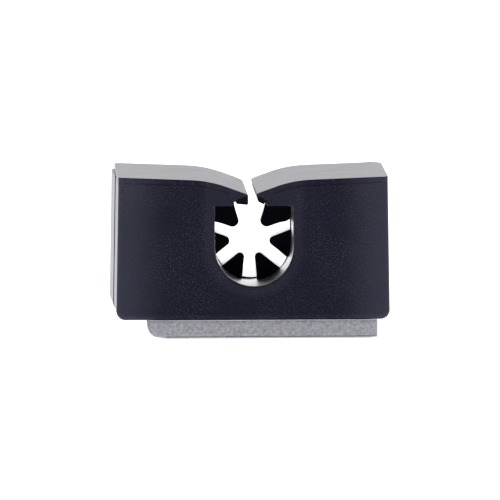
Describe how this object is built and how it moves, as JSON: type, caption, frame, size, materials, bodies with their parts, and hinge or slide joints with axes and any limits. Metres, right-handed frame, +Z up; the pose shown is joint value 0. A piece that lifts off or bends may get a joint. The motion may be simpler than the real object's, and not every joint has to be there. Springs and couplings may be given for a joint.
{
  "type": "adhesive cable clip",
  "caption": "Block-shaped self-adhesive cable clip with a slit top, a round-bottomed cable tunnel and a ring of soft gripping fins.",
  "frame": {"origin": "centre of the underside of the block's footprint, on the surface the clip stands on", "axes": "+X across the clip's width, +Y back along the cable, +Z up through the slit"},
  "size_m": [0.0374, 0.02, 0.0214],
  "materials": {
    "shell": "fine moulded grain, near-black navy",
    "skin": "soft-touch overmould, satin",
    "grip": "soft black elastomer",
    "foam": "closed-cell foam, light grey",
    "adhesive": "clear acrylic adhesive film",
    "liner": "waxed white release paper"
  },
  "bodies": {
    "clip_body": {"front_shell": "shell", "rear_shell": "shell", "left_top_skin": "skin", "right_top_skin": "skin", "grip_insert": "grip", "foam_pad": "foam", "upper_adhesive_film": "adhesive", "lower_adhesive_film": "adhesive", "release_liner": "liner"},
    "left_lip": {"left_lip": "skin"},
    "right_lip": {"right_lip": "skin"},
    "lower_left_fin": {"lower_left_fin": "grip"},
    "side_left_fin": {"side_left_fin": "grip"},
    "upper_left_fin": {"upper_left_fin": "grip"},
    "lower_right_fin": {"lower_right_fin": "grip"},
    "side_right_fin": {"side_right_fin": "grip"},
    "upper_right_fin": {"upper_right_fin": "grip"}
  },
  "joints": [
    {"name": "left_lip_bend", "type": "hinge", "parent": "clip_body", "child": "left_lip", "pos_m": [-0.00245, 0, 0.01874], "axis": [0, 1, 0], "range_deg": [-15, 35], "stiffness_Nm_per_rad": 0.004},
    {"name": "right_lip_bend", "type": "hinge", "parent": "clip_body", "child": "right_lip", "pos_m": [0.0016, 0, 0.01864], "axis": [0, -1, 0], "range_deg": [-15, 35], "stiffness_Nm_per_rad": 0.004},
    {"name": "lower_left_fin_bend", "type": "hinge", "parent": "clip_body", "child": "lower_left_fin", "pos_m": [-0.00293, 0, 0.0075], "axis": [0, 1, 0], "range_deg": [-16, 16], "stiffness_Nm_per_rad": 0.002},
    {"name": "side_left_fin_bend", "type": "hinge", "parent": "clip_body", "child": "side_left_fin", "pos_m": [-0.00559, 0, 0.01189], "axis": [0, 1, 0], "range_deg": [-16, 16], "stiffness_Nm_per_rad": 0.002},
    {"name": "upper_left_fin_bend", "type": "hinge", "parent": "clip_body", "child": "upper_left_fin", "pos_m": [-0.00402, 0, 0.01647], "axis": [0, 1, 0], "range_deg": [-16, 16], "stiffness_Nm_per_rad": 0.002},
    {"name": "lower_right_fin_bend", "type": "hinge", "parent": "clip_body", "child": "lower_right_fin", "pos_m": [0.00243, 0, 0.0075], "axis": [0, 1, 0], "range_deg": [-16, 16], "stiffness_Nm_per_rad": 0.002},
    {"name": "side_right_fin_bend", "type": "hinge", "parent": "clip_body", "child": "side_right_fin", "pos_m": [0.00509, 0, 0.01189], "axis": [0, 1, 0], "range_deg": [-16, 16], "stiffness_Nm_per_rad": 0.002},
    {"name": "upper_right_fin_bend", "type": "hinge", "parent": "clip_body", "child": "upper_right_fin", "pos_m": [0.00352, 0, 0.01647], "axis": [0, 1, 0], "range_deg": [-16, 16], "stiffness_Nm_per_rad": 0.002}
  ]
}
